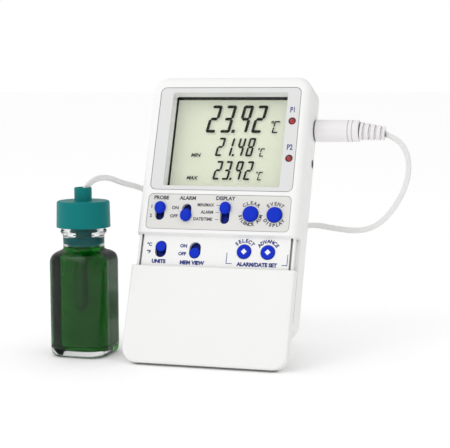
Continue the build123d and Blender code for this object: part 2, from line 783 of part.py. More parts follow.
# Bottle: glass, liquid, cap, stopper, probe. Drawn on its own axis, base on z = 0.
with BuildPart() as glass_bottle:
    with BuildSketch():
        RectangleRounded(BOTTLE_SIDE, BOTTLE_SIDE, BOTTLE_R)
    extrude(amount=40.5)
    fillet(glass_bottle.edges().filter_by_position(Axis.Z, -0.01, 0.01), 2.6)
    with BuildSketch(Plane.XY.offset(40.5)):
        RectangleRounded(BOTTLE_SIDE, BOTTLE_SIDE, BOTTLE_R)
    with BuildSketch(Plane.XY.offset(43.6)):
        RectangleRounded(24.0, 24.0, 8.2)
    with BuildSketch(Plane.XY.offset(45.6)):
        RectangleRounded(20.6, 20.6, 9.2)
    with BuildSketch(Plane.XY.offset(46.6)):
        RectangleRounded(17.8, 17.8, 8.89)
    loft(ruled=True)
    with BuildSketch(Plane.XY.offset(46.4)):
        Circle(8.85)
    extrude(amount=6.0)
    with BuildSketch(Plane.XY.offset(52.0)):
        Circle(9.8)
    extrude(amount=1.4)
    with BuildSketch(Plane.XY.offset(53.0)):
        Circle(9.3)
    extrude(amount=10.6)
    with BuildSketch(Plane.XY.offset(5.5)):
        RectangleRounded(21.6, 21.6, 5.3)
    extrude(amount=34.6, mode=Mode.SUBTRACT)
    with BuildSketch(Plane.XY.offset(40.1)):
        RectangleRounded(21.6, 21.6, 5.3)
    with BuildSketch(Plane.XY.offset(45.0)):
        RectangleRounded(13.8, 13.8, 6.85)
    loft(ruled=True, mode=Mode.SUBTRACT)
    with BuildSketch(Plane.XY.offset(44.9)):
        Circle(6.88)
    extrude(amount=30.0, mode=Mode.SUBTRACT)
glass_bottle.part.label = "glass_bottle"

with BuildPart() as glycol:
    with BuildSketch(Plane.XY.offset(5.55)):
        RectangleRounded(21.5, 21.5, 5.25)
    extrude(amount=34.5)
    with BuildSketch(Plane.XY.offset(40.05)):
        RectangleRounded(21.5, 21.5, 5.25)
    with BuildSketch(Plane.XY.offset(44.9)):
        RectangleRounded(13.6, 13.6, 6.75)
    loft(ruled=True)
    with BuildSketch(Plane.XY.offset(44.8)):
        Circle(6.75)
    extrude(amount=1.6)
    with BuildSketch(Plane.XY.offset(18.9)):
        Circle(2.6)
    extrude(amount=40.0, mode=Mode.SUBTRACT)
glycol.part.label = "glycol"

with BuildPart() as cap_stopper:
    with BuildSketch(Plane.XY.offset(47.2)):
        Circle(6.7)
    extrude(amount=16.4)
    with BuildSketch(Plane.XY.offset(63.6)):
        Circle(9.2)
    extrude(amount=0.35)
    with BuildSketch(Plane.XY.offset(40.0)):
        Circle(2.52)
    extrude(amount=30.0, mode=Mode.SUBTRACT)
cap_stopper.part.label = "cap_stopper"

with BuildPart() as bottle_cap:
    with BuildSketch(Plane.XY.offset(54.4)):
        Circle(11.42)
    with BuildSketch(Plane.XY.offset(65.5)):
        Circle(11.15)
    loft()
    fillet(bottle_cap.edges().filter_by_position(Axis.Z, 65.4, 65.6), 0.9)
    with BuildSketch(Plane.XY.offset(65.0)):
        Circle(3.7)
    extrude(amount=6.1)
    fillet(bottle_cap.edges().filter_by_position(Axis.Z, 71.05, 71.15), 0.35)
    with BuildSketch(Plane.XY.offset(54.0)):
        Circle(9.6)
    extrude(amount=9.98, mode=Mode.SUBTRACT)
    with BuildSketch(Plane.XY.offset(60.0)):
        Circle(2.52)
    extrude(amount=6.9, mode=Mode.SUBTRACT)
    # bell mouth for the cord
    with BuildSketch(Plane.XY.offset(66.9)):
        Circle(1.5)
    with BuildSketch(Plane.XY.offset(71.2)):
        Circle(3.2)
    loft(mode=Mode.SUBTRACT)
bottle_cap.part.label = "bottle_cap"

with BuildPart() as probe_sheath:
    with BuildSketch(Plane.XY.offset(21.5)):
        Circle(2.5)
    extrude(amount=45.2)
    with Locations((0, 0, 21.5)):
        Sphere(2.5)
    with BuildSketch(Plane.XY.offset(21.5)):
        Circle(2.1)
    extrude(amount=60.0, mode=Mode.SUBTRACT)
probe_sheath.part.label = "probe_sheath"

with BuildPart() as thermistor:
    with BuildSketch(Plane.XY.offset(22.0)):
        Circle(1.3)
    extrude(amount=3.4)
    fillet(thermistor.edges().filter_by(GeomType.CIRCLE), 0.6)
    for lead_x in (-0.6, 0.6):
        with BuildSketch(Plane.XY.offset(25.2)):
            with Locations((lead_x, 0)):
                Circle(0.3)
        extrude(amount=41.2)
thermistor.part.label = "thermistor"

# Spare cord, coiled flat on the table behind the meter and tied
with BuildPart() as cord_coil:
    with BuildSketch(Plane.XZ):
        with Locations(((COIL_IN + COIL_OUT) / 2, (COIL_LOW + COIL_HIGH) / 2)):
            RectangleRounded(COIL_OUT - COIL_IN, COIL_HIGH - COIL_LOW, 3.0)
    revolve(axis=Axis.Z)
cord_coil.part.label = "cord_coil"

with BuildPart() as coil_tie:
    with BuildSketch(Plane((-2.5, -15.25 + 0.19, (COIL_LOW + COIL_HIGH) / 2), x_dir=(0, 1, 0), z_dir=(1, 0, 0))):
        RectangleRounded(12.16, COIL_HIGH - COIL_LOW + 1.3, 3.1)
        RectangleRounded(10.94, COIL_HIGH - COIL_LOW + 0.06, 2.5, mode=Mode.SUBTRACT)
    extrude(amount=5.0)
coil_tie.part.label = "coil_tie"

# Cord routes in the table frame
BOTTLE_ROUTE = [
    (-57.6, 18.2, 68.2),
    (-56.95, 18.4, 70.3),
    (-55.9, 18.9, 72.1),
    (-54.6, 20.1, 73.6),
    (-53.3, 22.8, 74.6),
    (-51.9, 26.9, 74.8),
    (-50.6, 31.5, 74.1),
    (-49.2, 36.5, 72.5),
    (-47.7, 42.0, 70.9),
    (-45.2, 48.6, 69.4),
    (-42.6, 57.0, 66.4),
    (-40.6, 68.0, 58.4),
    (-39.8, 78.0, 45.4),
    (-40.0, 86.0, 29.4),
    (-41.0, 93.4, 13.8),
    (-41.9, 103.0, 4.2),
    (-41.75, 112.0, 2.6),
]
PLUG_ROUTE = [
    (65.0, 51.2, 93.05),
    (70.0, 51.2, 90.9),
    (73.2, 51.0, 87.0),
    (74.7, 51.0, 82.3),
    (74.9, 51.0, 77.6),
    (73.8, 51.0, 72.0),
    (71.4, 51.0, 66.4),
    (67.9, 51.0, 60.8),
    (63.9, 51.2, 56.4),
    (58.9, 52.2, 53.2),
    (52.3, 55.0, 51.5),
    (42.7, 60.0, 51.6),
    (29.4, 67.6, 52.6),
    (18.6, 80.0, 48.6),
    (11.0, 91.0, 36.6),
    (6.6, 98.2, 20.4),
    (3.2, 103.2, 7.2),
    (1.75, 112.0, 2.9),
]


def route_radii(points):
    radii = []
    for before, here, after in zip(points, points[1:], points[2:]):
        a = Vector(*here) - Vector(*before)
        b = Vector(*after) - Vector(*here)
        half_turn = math.radians(a.get_angle(b)) / 2
        radii.append(0.45 * min(a.length, b.length) / math.tan(half_turn))
    return radii


def make_cord(label, points):
    radii = route_radii(points)
    print(label, "radii", [round(r, 1) for r in radii])
    with BuildPart() as run:
        with BuildLine() as path:
            FilletPolyline(*points, radius=radii)
        route = path.wire()
        with BuildSketch(Plane(origin=route @ 0, z_dir=route % 0)):
            Circle(CORD_R)
        sweep(path=route)
    section = math.pi * CORD_R**2 * route.length
    print(label, "length", round(route.length, 1), "volume ratio", round(run.part.volume / section, 4))
    return run


cord_bottle_run = make_cord("cord_bottle_run", BOTTLE_ROUTE)
cord_plug_run = make_cord("cord_plug_run", PLUG_ROUTE)

# Placement: meter leaned and lifted onto the table, stand opened until its foot meets the table
lower_end = DOOR_END
leaning = Location((0, 0, LIFT)) * Location((0, 0, 0), (-LEAN, 0, 0)) * Location((0, 0, -lower_end))
hinge = leaning * Location((0, HINGE_Y, HINGE_Z))
hinge_height = hinge.position.Z
stand_open = 90 - LEAN + math.degrees(math.asin((hinge_height - LEG_T / 2) / LEG_L))
stand_place = hinge * Location((0, 0, 0), (-stand_open, 0, 0))
bottle_place = Location((BOTTLE_X, BOTTLE_Y, 0))
coil_place = Location((COIL_X, COIL_Y, 0))
plug_tip = (leaning * Location((PLUG_END + 0.4, JACK_Y, JACK_P1_Z))).position
relief_place = Location((plug_tip.X, plug_tip.Y, plug_tip.Z), (0, RELIEF_DROOP, 0))
print("stand opens by", round(stand_open, 3), "lift", round(LIFT, 4))

pieces = []


def place(piece, label, where):
    piece.part.label = label
    pieces.append((label, piece.part.moved(where)))


METER = [
    front_case,
    rear_case,
    battery_cover,
    display_bezel,
    control_panel,
    display_window,
    lcd_gasket,
    lcd_glass,
    lcd_reflector,
    zebra_strips,
    main_board,
    key_board,
    board_header,
    controller_chip,
    memory_chip,
    crystal,
    buzzer,
    led_leads,
    case_screws,
    board_screws,
    switch_bodies,
    tact_switches,
    battery_contacts,
    contact_springs,
    sliding_door,
    stand_pin,
    plug_body,
    plug_pin,
    plug_insulator,
]
for piece in METER:
    place(piece, piece.part.label, leaning)
for name, x, z in LEDS:
    place(make_led(x, z), name, leaning)
place(make_jack(JACK_P1_Z), "jack_p1", leaning)
place(make_jack(JACK_P2_Z), "jack_p2", leaning)
place(make_cell(CELL_ZS[0], False), "battery_1", leaning)
place(make_cell(CELL_ZS[1], True), "battery_2", leaning)
for name, x, low, high, width, knob_h, top, lower in SWITCHES:
    place(make_knob(x, low, high, width, knob_h, top, lower), name, leaning)
for name, x, z, r, lower in BUTTONS:
    place(make_button(x, z, r, lower), name, leaning)
place(kickstand, "kickstand", stand_place)
place(strain_relief, "strain_relief", relief_place)
for piece in (glass_bottle, glycol, cap_stopper, bottle_cap, probe_sheath, thermistor):
    place(piece, piece.part.label, bottle_place)
for piece in (cord_coil, coil_tie):
    place(piece, piece.part.label, coil_place)
place(cord_bottle_run, "cord_bottle_run", Location())
place(cord_plug_run, "cord_plug_run", Location())

# Origin: centre of the footprint of everything but the cord and what is on it, on the table
ON_CORD = [
    "cord_bottle_run",
    "cord_plug_run",
    "cord_coil",
    "coil_tie",
    "plug_body",
    "plug_pin",
    "plug_insulator",
    "strain_relief",
]
boxes = [part.bounding_box() for label, part in pieces if label not in ON_CORD]
low_x = min(box.min.X for box in boxes)
high_x = max(box.max.X for box in boxes)
low_y = min(box.min.Y for box in boxes)
high_y = max(box.max.Y for box in boxes)
low_z = min(box.min.Z for box in boxes)
high_z = max(box.max.Z for box in boxes)
shift = Location((-(low_x + high_x) / 2, -(low_y + high_y) / 2, -low_z))
print("shift", [round(v, 4) for v in shift.position])
print("extent", round(high_x - low_x, 3), round(high_y - low_y, 3), round(high_z - low_z, 3))

for label, part in pieces:
    placed = part.moved(shift)
    placed.label = label
    export_step(placed, "parts/" + label + ".step")
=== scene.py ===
import math
import random

import bmesh
import bpy
from mathutils import Matrix, Vector


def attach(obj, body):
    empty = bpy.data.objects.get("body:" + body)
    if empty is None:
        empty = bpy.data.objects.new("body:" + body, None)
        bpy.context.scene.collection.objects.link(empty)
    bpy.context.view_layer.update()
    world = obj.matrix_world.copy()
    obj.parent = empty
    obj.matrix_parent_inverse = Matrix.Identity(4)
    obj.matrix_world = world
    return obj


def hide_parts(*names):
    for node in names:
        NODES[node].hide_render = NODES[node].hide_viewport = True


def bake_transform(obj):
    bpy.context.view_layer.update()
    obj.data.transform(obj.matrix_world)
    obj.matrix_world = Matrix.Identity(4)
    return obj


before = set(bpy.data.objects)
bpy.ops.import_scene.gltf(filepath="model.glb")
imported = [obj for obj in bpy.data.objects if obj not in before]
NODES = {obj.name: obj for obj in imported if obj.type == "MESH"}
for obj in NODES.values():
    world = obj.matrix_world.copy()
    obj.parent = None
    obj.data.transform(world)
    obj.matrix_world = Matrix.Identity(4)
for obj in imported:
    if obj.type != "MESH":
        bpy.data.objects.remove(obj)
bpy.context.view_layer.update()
MM = 0.001

# ---------------------------------------------------------------- frame
# Lengths are in millimetres unless a line says metres. The table frame has its origin on the table
# under the meter's lower edge, x to the right, y to the back and z up.
LEAN = math.radians(21.34)  # of the meter, back from upright
SIN = math.sin(LEAN)
COS = math.cos(LEAN)
DOOR_DEPTH = 5.0  # of the door's lower end, which the meter stands on
DOOR_ROUND = 0.8  # radius of that end's edge
LIFT = DOOR_DEPTH * SIN - DOOR_ROUND * (COS + SIN - 1)
SHIFT = Vector((17.8, -35.6865, 0.0024))  # from the table frame to the row frame
LOWER_END = 14.7  # how far the open door hangs below the case


def table_point(x, y, z):
    """A point given in the table frame, in metres in the row frame."""
    return (Vector((x, y, z)) + SHIFT) * MM


def meter_point(x, depth, height):
    """A point on the leaning meter: across, behind its face, above its lower end."""
    v = height + LOWER_END
    return table_point(x, v * SIN + depth * COS, v * COS - depth * SIN + LIFT)


# local x across the face, local y up it, local z out of it
FACE_ORIGIN = meter_point(0, 0, 0)
FACE_MATRIX = Matrix.Translation(FACE_ORIGIN) @ Matrix(
    ((1, 0, 0, 0), (0, SIN, -COS, 0), (0, COS, SIN, 0), (0, 0, 0, 1))
)


def on_face(x, height, out):
    """Matrix that places a flat thing on the meter's face."""
    return FACE_MATRIX @ Matrix.Translation(Vector((x, height, out)) * MM)


def face_point(x, height, out):
    """A point over the meter's face, in metres in the row frame."""
    return on_face(x, height, out) @ Vector((0, 0, 0))


# ---------------------------------------------------------------- camera
camera_data = bpy.data.cameras.new("camera")
camera = bpy.data.objects.new("camera", camera_data)
bpy.context.collection.objects.link(camera)
camera_data.sensor_width = 36.0
camera_data.sensor_fit = "HORIZONTAL"
camera_data.lens = 107.936
camera_data.clip_start = 0.01
camera_data.clip_end = 20.0
camera_right = Vector((0.95683, 0.29060, -0.00525)).normalized()
camera_forward = Vector((-0.28943, 0.95103, -0.10848)).normalized()
camera_up = camera_right.cross(camera_forward).normalized()
camera_place = table_point(164.85, -507.94, 117.19)
camera.matrix_world = Matrix(
    (
        (camera_right.x, camera_up.x, -camera_forward.x, camera_place.x),
        (camera_right.y, camera_up.y, -camera_forward.y, camera_place.y),
        (camera_right.z, camera_up.z, -camera_forward.z, camera_place.z),
        (0, 0, 0, 1),
    )
)
bpy.context.scene.camera = camera


# ---------------------------------------------------------------- materials
def srgb(r, g, b):
    """A colour given as 0 to 255 in sRGB, as linear RGBA."""
    out = []
    for v in (r, g, b):
        c = v / 255.0
        out.append(c / 12.92 if c <= 0.04045 else ((c + 0.055) / 1.055) ** 2.4)
    return (out[0], out[1], out[2], 1.0)


def shade(colour, k):
    """The colour made darker by the factor k."""
    return (colour[0] * k, colour[1] * k, colour[2] * k, 1.0)


def new_material(name):
    """An empty material, its node tree and its output node."""
    material = bpy.data.materials.new(name)
    material.use_nodes = True
    tree = material.node_tree
    tree.nodes.clear()
    return material, tree, tree.nodes.new("ShaderNodeOutputMaterial")


def principled(material):
    return next(n for n in material.node_tree.nodes if n.type == "BSDF_PRINCIPLED")


ROUGH_SPREAD = 0.06  # how far the roughness wanders either way
GRAIN_DEPTH = 0.0001  # metres


def grain(
    name,
    colour,
    rough=0.4,
    metallic=0.0,
    scale=900.0,
    bump=0.15,
    vary=0.03,
    coat=0.0,
    scatter=0.0,
    edge=0.0,
    cloud=40.0,
    specular=0.5,
):
    """Fine grain as bump at scale, soft clouds in colour and roughness at cloud. edge is the radius in
    metres that sharp edges are shaded to, and scatter the weight of light scattered under the surface."""
    material, tree, out = new_material(name)
    links = tree.links
    shader = tree.nodes.new("ShaderNodeBsdfPrincipled")
    links.new(shader.outputs["BSDF"], out.inputs["Surface"])
    coords = tree.nodes.new("ShaderNodeTexCoord")
    fine = tree.nodes.new("ShaderNodeTexNoise")
    fine.inputs["Scale"].default_value = scale
    fine.inputs["Detail"].default_value = 3.0
    broad = tree.nodes.new("ShaderNodeTexNoise")
    broad.inputs["Scale"].default_value = cloud
    broad.inputs["Detail"].default_value = 4.0
    links.new(coords.outputs["Object"], fine.inputs["Vector"])
    links.new(coords.outputs["Object"], broad.inputs["Vector"])
    ramp = tree.nodes.new("ShaderNodeValToRGB")
    ramp.color_ramp.elements[0].position = 0.3
    ramp.color_ramp.elements[1].position = 0.7
    ramp.color_ramp.elements[0].color = shade(colour, 1.0 - vary)
    ramp.color_ramp.elements[1].color = shade(colour, 1.0)
    links.new(broad.outputs["Fac"], ramp.inputs["Fac"])
    links.new(ramp.outputs["Color"], shader.inputs["Base Color"])
    spread_node = tree.nodes.new("ShaderNodeMapRange")
    spread_node.inputs["To Min"].default_value = max(0.02, rough - ROUGH_SPREAD)
    spread_node.inputs["To Max"].default_value = min(1.0, rough + ROUGH_SPREAD)
    links.new(broad.outputs["Fac"], spread_node.inputs["Value"])
    links.new(spread_node.outputs["Result"], shader.inputs["Roughness"])
    bump_node = tree.nodes.new("ShaderNodeBump")
    bump_node.inputs["Strength"].default_value = bump
    bump_node.inputs["Distance"].default_value = GRAIN_DEPTH
    links.new(fine.outputs["Fac"], bump_node.inputs["Height"])
    if edge > 0:
        soft = tree.nodes.new("ShaderNodeBevel")
        soft.samples = 6
        soft.inputs["Radius"].default_value = edge
        links.new(soft.outputs["Normal"], bump_node.inputs["Normal"])
    links.new(bump_node.outputs["Normal"], shader.inputs["Normal"])
    shader.inputs["Metallic"].default_value = metallic
    shader.inputs["IOR"].default_value = 1.5
    shader.inputs["Specular IOR Level"].default_value = specular
    if coat > 0:
        shader.inputs["Coat Weight"].default_value = coat
        shader.inputs["Coat Roughness"].default_value = 0.08
    if scatter > 0:
        shader.inputs["Subsurface Weight"].default_value = scatter
        shader.inputs["Subsurface Scale"].default_value = 0.002
        shader.inputs["Subsurface Radius"].default_value = (1.0, 0.95, 0.9)
    return material


def paint_recess_shade(material, painted_shade_colour, distance, low, high):
    """Paints shade into the base colour: mixes it to a darker one where ambient occlusion finds the surface
    sunk in a well, slot or seam, as far as distance in metres. Openness up to low is all painted shade, and
    from high on all plain."""
    tree = material.node_tree
    shader = principled(material)
    occlusion = tree.nodes.new("ShaderNodeAmbientOcclusion")
    occlusion.samples = 8
    occlusion.inputs["Distance"].default_value = distance
    ramp = tree.nodes.new("ShaderNodeValToRGB")
    ramp.color_ramp.elements[0].position = low
    ramp.color_ramp.elements[1].position = high
    ramp.color_ramp.elements[0].color = (0, 0, 0, 1)
    ramp.color_ramp.elements[1].color = (1, 1, 1, 1)
    plain = shader.inputs["Base Color"].links[0].from_socket
    mix = tree.nodes.new("ShaderNodeMix")
    mix.data_type = "RGBA"
    painted_shade_input, plain_input, mixed_output = mix.inputs[6], mix.inputs[7], mix.outputs[2]
    painted_shade_input.default_value = painted_shade_colour
    tree.links.new(occlusion.outputs["AO"], ramp.inputs["Fac"])
    tree.links.new(ramp.outputs["Color"], mix.inputs["Factor"])
    tree.links.new(plain, plain_input)
    tree.links.new(mixed_output, shader.inputs["Base Color"])


def glow(material, colour, strength):
    shader = principled(material)
    shader.inputs["Emission Color"].default_value = colour
    shader.inputs["Emission Strength"].default_value = strength


CASE_WHITE = grain("case_white", srgb(241, 241, 240), 0.42, scale=1400, bump=0.10, vary=0.012, edge=0.0004)
DOOR_WHITE = grain("door_white", srgb(239, 239, 237), 0.40, scale=1400, bump=0.10, vary=0.012, edge=0.0003)
BEZEL = grain("bezel_grey", srgb(219, 220, 219), 0.35, scale=2200, bump=0.08, vary=0.015, edge=0.0001)
OVERLAY = grain("overlay_grey", srgb(222, 221, 217), 0.45, scale=2600, bump=0.12, vary=0.02, edge=0.0001)
BLUE = grain(
    "control_blue", srgb(6, 46, 196), 0.38, scale=1800, bump=0.10, vary=0.05, edge=0.0003, specular=0.12
)
# painted shade: the blue is mixed to navy where ambient occlusion finds it sunk in the switch wells and round
# the buttons
paint_recess_shade(BLUE, srgb(0, 22, 98), 0.004, 0.35, 0.78)
# painted shade: the white case and door are mixed to grey where ambient occlusion finds their seams, slots and
# grooves
SEAM_SHADE = srgb(84, 82, 84)
paint_recess_shade(CASE_WHITE, SEAM_SHADE, 0.0016, 0.12, 0.48)
paint_recess_shade(DOOR_WHITE, SEAM_SHADE, 0.0016, 0.12, 0.48)
# the black foam gasket's colour, which is partly painted shade: its black also stands in for the shade down in
# the display's recess
BLACK_FOAM_AND_SHADE = grain("gasket_black", srgb(24, 24, 24), 0.85, scale=3000, bump=0.4, vary=0.2)
REFLECTOR = grain("reflector", srgb(208, 211, 197), 0.55, scale=5000, bump=0.12, vary=0.02, cloud=25)
glow(REFLECTOR, (1.0, 1.01, 0.91, 1), 0.33)  # painted light: the reflector glows, though it is no lamp, so that it stays pale in the shade of the display's recess
ZEBRA = grain("zebra", srgb(120, 120, 122), 0.7, scale=3000, bump=0.2, vary=0.3, cloud=1200)
BOARD = grain("board_green", srgb(18, 92, 52), 0.38, scale=700, bump=0.25, vary=0.45, coat=0.3, cloud=420)
CHIP = grain("chip_black", srgb(26, 26, 28), 0.6, scale=2500, bump=0.3, vary=0.2)
NICKEL = grain("nickel", srgb(196, 192, 182), 0.22, metallic=1.0, scale=900, bump=0.06, vary=0.06)
STEEL = grain("steel", srgb(176, 177, 180), 0.34, metallic=1.0, scale=1500, bump=0.12, vary=0.1)
STAINLESS = grain("stainless", srgb(190, 192, 194), 0.25, metallic=1.0, scale=1200, bump=0.08, vary=0.05)
JACK_BLACK = grain("jack_black", srgb(22, 22, 23), 0.5, scale=2200, bump=0.2, vary=0.2)
CORD_WHITE = grain("cord_white", srgb(228, 228, 227), 0.48, scale=1600, bump=0.12, vary=0.02, scatter=0.04)
# painted shade: the cord is mixed to grey in the groove between its cores and where its turns lie close
paint_recess_shade(CORD_WHITE, srgb(120, 118, 118), 0.0012, 0.2, 0.75)
PLUG_WHITE = grain("plug_white", srgb(238, 235, 237), 0.42, scale=1500, bump=0.10, vary=0.015, edge=0.0002)
# painted shade: the plug is mixed to grey in its rings and where its parts meet
paint_recess_shade(PLUG_WHITE, srgb(120, 116, 118), 0.0016, 0.15, 0.6)
TIE_WHITE = grain("tie_white", srgb(205, 205, 204), 0.5, scale=1400, bump=0.2, vary=0.05)
TEAL = grain("cap_teal", srgb(0, 118, 118), 0.38, scale=1500, bump=0.10, vary=0.06, edge=0.0003, specular=0.15)
TEAL_DARK = grain("stopper_teal", srgb(0, 118, 118), 0.45, scale=1500, bump=0.10, vary=0.06, specular=0.1)
BEAD = grain("bead", srgb(150, 90, 50), 0.4, scale=1500, bump=0.2, vary=0.2)
LED = grain("led_red", srgb(158, 30, 42), 0.28, scale=1200, bump=0.05, vary=0.15, coat=0.6, cloud=500)
INK_GREY = grain("ink_grey", srgb(62, 64, 76), 0.5, scale=4000, bump=0.05, vary=0.1)
INK_BLUE = grain("ink_blue", srgb(22, 42, 128), 0.5, scale=4000, bump=0.05, vary=0.1)
INK_WHITE = grain("ink_white", srgb(236, 240, 250), 0.45, scale=4000, bump=0.05, vary=0.03)
SEGMENT = grain("segment_dark", srgb(14, 15, 9), 0.8, scale=3000, bump=0.02, vary=0.1)
CELL = grain("cell_jacket", srgb(52, 54, 60), 0.35, metallic=0.4, scale=900, bump=0.05, vary=0.2, coat=0.3)


def clear_material(name, tint, gloss, density, ior):
    """Thin clear sheet: light goes straight through, with a Fresnel gloss on top."""
    material, tree, out = new_material(name)
    clear = tree.nodes.new("ShaderNodeBsdfTransparent")
    glossy = tree.nodes.new("ShaderNodeBsdfGlossy")
    fresnel = tree.nodes.new("ShaderNodeFresnel")
    mix = tree.nodes.new("ShaderNodeMixShader")
    noise = tree.nodes.new("ShaderNodeTexNoise")
    coords = tree.nodes.new("ShaderNodeTexCoord")
    ramp = tree.nodes.new("ShaderNodeValToRGB")
    noise.inputs["Scale"].default_value = density
    ramp.color_ramp.elements[0].color = shade(tint, 0.985)
    ramp.color_ramp.elements[1].color = tint
    tree.links.new(coords.outputs["Object"], noise.inputs["Vector"])
    tree.links.new(noise.outputs["Fac"], ramp.inputs["Fac"])
    tree.links.new(ramp.outputs["Color"], clear.inputs["Color"])
    glossy.inputs["Roughness"].default_value = gloss
    fresnel.inputs["IOR"].default_value = ior
    tree.links.new(fresnel.outputs["Fac"], mix.inputs["Fac"])
    tree.links.new(clear.outputs["BSDF"], mix.inputs[1])
    tree.links.new(glossy.outputs["BSDF"], mix.inputs[2])
    tree.links.new(mix.outputs["Shader"], out.inputs["Surface"])
    return material


WINDOW = clear_material("lens_clear", (0.99, 0.995, 0.99, 1), 0.08, 60, 1.12)
LCD = clear_material("lcd_cell", (0.985, 0.99, 0.965, 1), 0.12, 90, 1.06)


def glass_material(name, colour, ior, keep, absorb=None, density=0.0):
    """Clear body: refraction and reflection by angle, with faint drawn-glass waviness. The share that
    reflects is raised to the power keep, because glass wet by a liquid reflects little between the two."""
    material, tree, out = new_material(name)
    links = tree.links
    through = tree.nodes.new("ShaderNodeBsdfRefraction")
    mirror = tree.nodes.new("ShaderNodeBsdfGlossy")
    fresnel = tree.nodes.new("ShaderNodeFresnel")
    power = tree.nodes.new("ShaderNodeMath")
    power.operation = "POWER"
    power.inputs[1].default_value = keep
    mix = tree.nodes.new("ShaderNodeMixShader")
    coords = tree.nodes.new("ShaderNodeTexCoord")
    noise = tree.nodes.new("ShaderNodeTexNoise")
    noise.inputs["Scale"].default_value = 120.0
    noise.inputs["Detail"].default_value = 2.0
    bump = tree.nodes.new("ShaderNodeBump")
    bump.inputs["Strength"].default_value = 0.05
    bump.inputs["Distance"].default_value = 0.0002
    span = tree.nodes.new("ShaderNodeMapRange")
    span.inputs["To Min"].default_value = 0.0
    span.inputs["To Max"].default_value = 0.01
    links.new(coords.outputs["Object"], noise.inputs["Vector"])
    links.new(noise.outputs["Fac"], bump.inputs["Height"])
    links.new(noise.outputs["Fac"], span.inputs["Value"])
    through.inputs["Color"].default_value = colour
    through.inputs["IOR"].default_value = ior
    fresnel.inputs["IOR"].default_value = ior
    for node in (through, mirror):
        links.new(span.outputs["Result"], node.inputs["Roughness"])
    for node in (through, mirror, fresnel):
        links.new(bump.outputs["Normal"], node.inputs["Normal"])
    links.new(fresnel.outputs["Fac"], power.inputs[0])
    links.new(power.outputs["Value"], mix.inputs["Fac"])
    links.new(through.outputs["BSDF"], mix.inputs[1])
    links.new(mirror.outputs["BSDF"], mix.inputs[2])
    links.new(mix.outputs["Shader"], out.inputs["Surface"])
    if absorb:
        volume = tree.nodes.new("ShaderNodeVolumeAbsorption")
        volume.inputs["Color"].default_value = absorb
        volume.inputs["Density"].default_value = density
        links.new(volume.outputs["Volume"], out.inputs["Volume"])
    return material


GLASS = glass_material("bottle_glass", (0.99, 1.0, 0.995, 1), ior=1.5, keep=1.25)
GLYCOL = glass_material(
    "glycol_green", (1, 1, 1, 1), ior=1.43, keep=2.0, absorb=(0.1, 0.872, 0.1, 1), density=1000.0
)


# ---------------------------------------------------------------- pieces
def finish_piece(obj, material, body, smooth=True):
    """Gives a drawn piece its material and slot, and the body it rides if one is given."""
    obj.data.materials.clear()
    obj.data.materials.append(material)
    if smooth:
        for polygon in obj.data.polygons:
            polygon.use_smooth = True
    if body:
        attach(obj, body)
    return obj


def mesh_object(name, bm):
    bmesh.ops.recalc_face_normals(bm, faces=bm.faces)
    mesh = bpy.data.meshes.new(name)
    bm.to_mesh(mesh)
    bm.free()
    obj = bpy.data.objects.new(name, mesh)
    bpy.context.collection.objects.link(obj)
    return obj


def prism(bm, low, high):
    """Closed body between two outlines of as many points, the low one hidden and the high one seen."""
    low = [bm.verts.new(p) for p in low]
    high = [bm.verts.new(p) for p in high]
    bm.faces.new(high)
    bm.faces.new(list(reversed(low)))
    for k in range(len(low)):
        n = (k + 1) % len(low)
        bm.faces.new((low[k], low[n], high[n], high[k]))


NODE_LOOKS = [
    (CASE_WHITE, "front_case rear_case battery_cover kickstand"),
    (DOOR_WHITE, "sliding_door"),
    (BEZEL, "display_bezel"),
    (OVERLAY, "control_panel"),
    (WINDOW, "display_window"),
    (BLACK_FOAM_AND_SHADE, "lcd_gasket"),
    (LCD, "lcd_glass"),
    (REFLECTOR, "lcd_reflector"),
    (ZEBRA, "zebra_strips"),
    (BOARD, "main_board key_board"),
    (CHIP, "board_header controller_chip memory_chip buzzer"),
    (NICKEL, "crystal led_leads battery_contacts contact_springs plug_pin"),
    (LED, "led_p1 led_p2"),
    (STEEL, "case_screws board_screws stand_pin"),
    (JACK_BLACK, "switch_bodies tact_switches plug_insulator jack_p1 jack_p2"),
    (PLUG_WHITE, "plug_body strain_relief"),
    (CELL, "battery_1 battery_2"),
    (BLUE, "probe_knob alarm_knob display_knob units_knob memory_knob"),
    (BLUE, "clear_button event_button select_button advance_button"),
    (GLASS, "glass_bottle"),
    (GLYCOL, "glycol"),
    (TEAL_DARK, "cap_stopper"),
    (TEAL, "bottle_cap"),
    (STAINLESS, "probe_sheath"),
    (BEAD, "thermistor"),
    (CORD_WHITE, "cord_coil cord_bottle_run cord_plug_run"),
    (TIE_WHITE, "coil_tie"),
]
for material, names in NODE_LOOKS:
    for name in names.split():
        obj = NODES[name]
        if obj.material_slots:
            for entry in obj.material_slots:
                entry.material = material
        else:
            obj.data.materials.append(material)

# ---------------------------------------------------------------- cord
CORD_WIDE = 2.5  # across both cores
CORD_CORE = 0.68  # radius of one core
